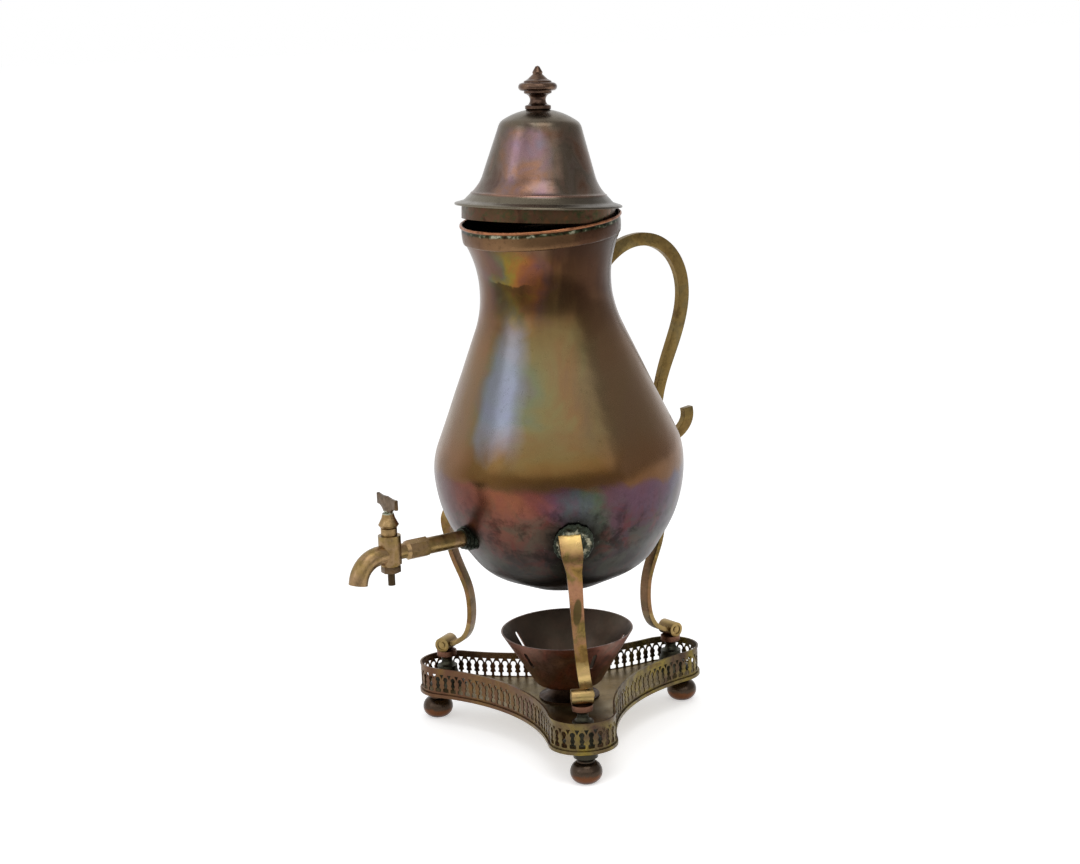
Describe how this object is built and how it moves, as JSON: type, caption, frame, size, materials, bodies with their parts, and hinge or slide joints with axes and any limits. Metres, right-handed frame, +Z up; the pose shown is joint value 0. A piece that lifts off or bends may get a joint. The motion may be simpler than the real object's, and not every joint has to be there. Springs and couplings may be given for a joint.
{
  "type": "jug with tap",
  "caption": "Tall copper jug with bell lid, loop handle and plug tap, on three scrolled legs over a spirit-burner bowl and a pierced three-lobed tray.",
  "frame": {"origin": "on the table under the middle of the whole piece, midway between spout tip and handle back", "axes": "+Z up, the tap points to -Y, the handle to +Y, +X is to the right when looking along +Y"},
  "size_m": [0.211, 0.3002, 0.4802],
  "materials": {
    "body_copper": "hand-beaten copper with a brown, iridescent patina, blackened underneath",
    "lid_copper": "copper with a mauve-brown patina, half polished",
    "collar_copper": "copper band, worn bright on its edge, green in its creases",
    "finial_bronze": "turned bronze, dark and polished by handling",
    "handle_brass": "dull brass with an olive patina",
    "leg_brass": "brushed yellow brass with dark sides",
    "pedestal_bronze": "dark turned brass",
    "foot_bronze": "dark red-brown turned brass",
    "tray_brass": "dull olive-brown sheet brass",
    "gallery_brass": "pierced brass strip with an olive patina",
    "tap_brass": "cast brass, rubbed, with pink areas",
    "burner_copper": "maroon-brown copper, sooty inside",
    "solder": "grey tin solder, partly green",
    "screw_brass": "dull brass screws and nuts",
    "hidden_iron": "iron wire inside the rolled rim"
  },
  "bodies": {
    "urn": {"tray_plate": "tray_brass", "pedestal_screws": "screw_brass", "jug_bowl": "body_copper", "jug_cone": "body_copper", "jug_neck": "body_copper", "collar_band": "collar_copper", "rim_wire": "hidden_iron", "handle": "handle_brass", "tap_pipe": "tap_brass", "pipe_collar": "solder", "tap_body": "tap_brass", "gallery_back": "gallery_brass", "foot_back": "foot_bronze", "pedestal_back": "pedestal_bronze", "leg_back": "leg_brass", "leg_pad_back": "solder", "gallery_right": "gallery_brass", "foot_right": "foot_bronze", "pedestal_right": "pedestal_bronze", "leg_right": "leg_brass", "leg_pad_right": "solder", "gallery_left": "gallery_brass", "foot_left": "foot_bronze", "pedestal_left": "pedestal_bronze", "leg_left": "leg_brass", "leg_pad_left": "solder"},
    "lid": {"lid_dome": "lid_copper", "lid_skirt": "collar_copper", "lid_finial": "finial_bronze", "finial_nut": "screw_brass"},
    "tap_key": {"tap_plug": "tap_brass", "tap_wing": "tap_brass", "plug_washer": "tap_brass", "plug_nut": "tap_brass"},
    "burner": {"burner_bowl": "burner_copper", "bowl_foot": "burner_copper"}
  },
  "joints": [
    {"name": "lid_lift", "type": "slide", "parent": "urn", "child": "lid", "axis": [0.0298, -0.0778, 0.9965], "range_m": [0, 0.06]},
    {"name": "tap_turn", "type": "hinge", "parent": "urn", "child": "tap_key", "pos_m": [0, -0.11674, 0.16], "axis": [0, 0, 1], "continuous": true},
    {"name": "burner_lift", "type": "slide", "parent": "urn", "child": "burner", "axis": [0, 0, 1], "range_m": [0, 0.028]}
  ]
}
